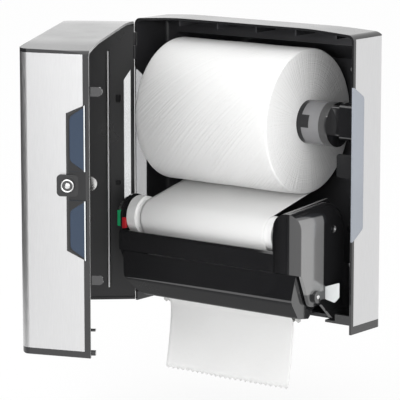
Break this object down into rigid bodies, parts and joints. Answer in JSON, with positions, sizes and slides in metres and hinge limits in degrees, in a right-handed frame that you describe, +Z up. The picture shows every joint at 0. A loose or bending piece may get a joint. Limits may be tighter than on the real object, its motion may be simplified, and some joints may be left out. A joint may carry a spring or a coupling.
{
  "type": "lever paper towel dispenser",
  "caption": "Wall-mounted roll towel dispenser with a push bar, stainless side skins and a hinged, lockable door standing open over the roll and feed unit.",
  "frame": {"origin": "centre of the wall screws, on the wall face of the housing", "axes": "+Z up, -Y out from the wall towards the user, +X to the right as the user faces it"},
  "size_m": [0.4146, 0.4554, 0.4695],
  "materials": {
    "black_plastic": "satin",
    "black_gloss": "gloss",
    "steel": "brushed",
    "window": "smoked translucent",
    "bright_steel": "satin",
    "lock_chrome": "polished",
    "towel": "matte",
    "card": "matte",
    "white_plastic": "satin",
    "grey_rubber": "matte",
    "green_plastic": "gloss",
    "red_plastic": "gloss",
    "clear_plastic": "frosted"
  },
  "bodies": {
    "housing": {"housing_shell": "black_plastic", "side_skin_right": "steel", "side_skin_left": "steel", "side_window_right": "window", "side_window_left": "window", "hinge_pin_lower": "bright_steel", "hinge_pin_upper": "bright_steel", "lock_keeper": "black_plastic", "roll_bracket_right": "black_plastic", "roll_bracket_left": "black_plastic", "feed_side_left": "black_plastic", "feed_side_right": "black_plastic", "gearbox_case": "black_gloss", "feed_front_cover": "black_gloss", "feed_tray": "black_plastic", "tear_blade": "bright_steel", "index_tab_green": "green_plastic", "index_tab_red": "red_plastic", "guide_flag_right": "clear_plastic", "lever_pin_right": "black_gloss", "lever_pin_left": "black_gloss", "paper_web": "towel", "paper_tail": "towel"},
    "door": {"door_shell": "black_plastic", "door_skin": "steel", "door_window_hinge": "window", "door_window_lower": "window", "door_window_upper": "window", "lock_plate": "black_gloss", "lock_escutcheon": "black_gloss", "latch_hook_upper": "black_gloss", "latch_hook_lower": "black_gloss"},
    "lock": {"lock_cylinder": "lock_chrome", "lock_cam": "bright_steel"},
    "roll": {"paper_roll": "towel", "roll_core": "card", "roll_hub_right": "black_plastic", "roll_hub_left": "black_plastic"},
    "holder": {"roll_head_right": "black_gloss"},
    "drum": {"feed_drum": "white_plastic", "drum_axle": "bright_steel"},
    "pinch": {"pinch_roller": "grey_rubber"},
    "lever": {"lever_bar": "black_gloss"}
  },
  "joints": [
    {"name": "door_hinge", "type": "hinge", "parent": "housing", "child": "door", "pos_m": [-0.175, -0.126, 0], "axis": [0, 0, 1], "range_deg": [-60, 60]},
    {"name": "lock_turn", "type": "hinge", "parent": "door", "child": "lock", "pos_m": [-0.0289, -0.43425, 0.024], "axis": [0.5, -0.866, 0], "range_deg": [0, 90]},
    {"name": "roll_spin", "type": "hinge", "parent": "housing", "child": "roll", "pos_m": [-0.017, -0.098, 0.0725], "axis": [1, 0, 0], "continuous": true},
    {"name": "holder_slide", "type": "slide", "parent": "housing", "child": "holder", "axis": [1, 0, 0], "range_m": [0, 0.012], "stiffness_N_per_m": 600, "springref_m": -0.005},
    {"name": "drum_spin", "type": "hinge", "parent": "housing", "child": "drum", "pos_m": [0, -0.166, -0.063], "axis": [1, 0, 0], "continuous": true},
    {"name": "pinch_spin", "type": "hinge", "parent": "housing", "child": "pinch", "pos_m": [0, -0.1848, -0.089], "axis": [1, 0, 0], "continuous": true},
    {"name": "lever_press", "type": "hinge", "parent": "housing", "child": "lever", "pos_m": [0, -0.163, -0.1375], "axis": [1, 0, 0], "range_deg": [0, 15], "stiffness_Nm_per_rad": 1.5, "springref_deg": -8.59}
  ]
}
